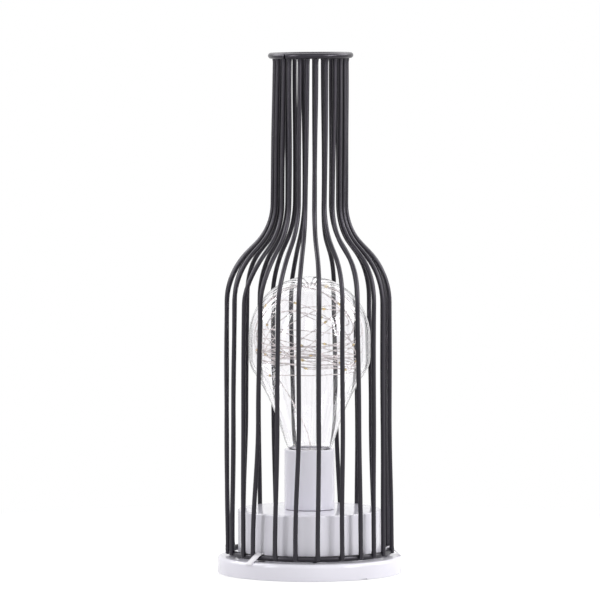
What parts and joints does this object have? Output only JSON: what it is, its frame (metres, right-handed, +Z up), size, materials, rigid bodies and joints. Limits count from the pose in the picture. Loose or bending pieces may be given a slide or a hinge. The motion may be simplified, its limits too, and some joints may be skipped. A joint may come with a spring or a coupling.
{
  "type": "wire-cage table lamp",
  "caption": "Battery table lamp: a bottle-shaped cage of black wire on a round white base, around a clear bulb that holds a wound string of tiny lights.",
  "frame": {"origin": "centre of the base, on the surface that the feet stand on", "axes": "+Z up along the bottle's axis, -Y to the front as pictured, +X to the right"},
  "size_m": [0.1102, 0.1102, 0.3114],
  "materials": {
    "coated_wire": "satin black powder coat on steel wire",
    "white_gloss": "glossy white moulded plastic",
    "white_nylon": "white nylon",
    "clear_bulb": "clear blown plastic",
    "string_wire": "enamelled fine wire with resin light drops",
    "bright_steel": "nickel-plated spring steel",
    "cell_jacket": "plain jacketed cell",
    "dark_plastic": "black switch plastic",
    "red_sheath": "red insulated lead",
    "black_sheath": "black insulated lead",
    "beige_lacquer": "lacquered resistor",
    "grey_rubber": "soft rubber pad"
  },
  "bodies": {
    "lamp_body": {"cage_upright_01": "coated_wire", "cage_upright_02": "coated_wire", "cage_upright_03": "coated_wire", "cage_upright_04": "coated_wire", "cage_upright_05": "coated_wire", "cage_upright_06": "coated_wire", "cage_upright_07": "coated_wire", "cage_upright_08": "coated_wire", "cage_upright_09": "coated_wire", "cage_upright_10": "coated_wire", "cage_upright_11": "coated_wire", "cage_upright_12": "coated_wire", "cage_upright_13": "coated_wire", "cage_upright_14": "coated_wire", "cage_upright_15": "coated_wire", "cage_upright_16": "coated_wire", "cage_upright_17": "coated_wire", "cage_upright_18": "coated_wire", "cage_upright_19": "coated_wire", "cage_upright_20": "coated_wire", "cage_upright_21": "coated_wire", "cage_upright_22": "coated_wire", "cage_upright_23": "coated_wire", "cage_upright_24": "coated_wire", "cage_top_ring": "coated_wire", "cage_foot_ring": "coated_wire", "base_shell": "white_gloss", "bottom_cover": "white_gloss", "battery_tray": "white_gloss", "battery_cell_1": "cell_jacket", "battery_cell_2": "cell_jacket", "battery_cell_3": "cell_jacket", "battery_spring_1": "bright_steel", "battery_spring_2": "bright_steel", "battery_spring_3": "bright_steel", "contact_negative": "bright_steel", "contact_positive": "bright_steel", "contact_link_1": "bright_steel", "contact_link_2": "bright_steel", "switch_body": "dark_plastic", "cover_screw_1": "bright_steel", "cover_screw_2": "bright_steel", "cover_screw_3": "bright_steel", "foot_1": "grey_rubber", "foot_2": "grey_rubber", "foot_3": "grey_rubber", "cage_tongue_1": "white_nylon", "cage_tongue_2": "white_nylon", "cage_tongue_3": "white_nylon", "neck_sleeve": "white_gloss", "bulb_envelope": "clear_bulb", "bulb_stopper": "white_nylon", "light_string": "string_wire", "resistor": "beige_lacquer", "lead_feed": "red_sheath", "lead_return": "black_sheath", "lead_negative": "black_sheath"},
    "door": {"battery_door": "white_gloss"},
    "slider": {"switch_slider": "dark_plastic"}
  },
  "joints": [
    {"name": "battery_door_hinge", "type": "hinge", "parent": "lamp_body", "child": "door", "pos_m": [-0.0276, 0, 0.0028], "axis": [0, 1, 0], "range_deg": [0, 100]},
    {"name": "switch_slide", "type": "slide", "parent": "lamp_body", "child": "slider", "axis": [1, 0, 0], "range_m": [0, 0.003]}
  ]
}
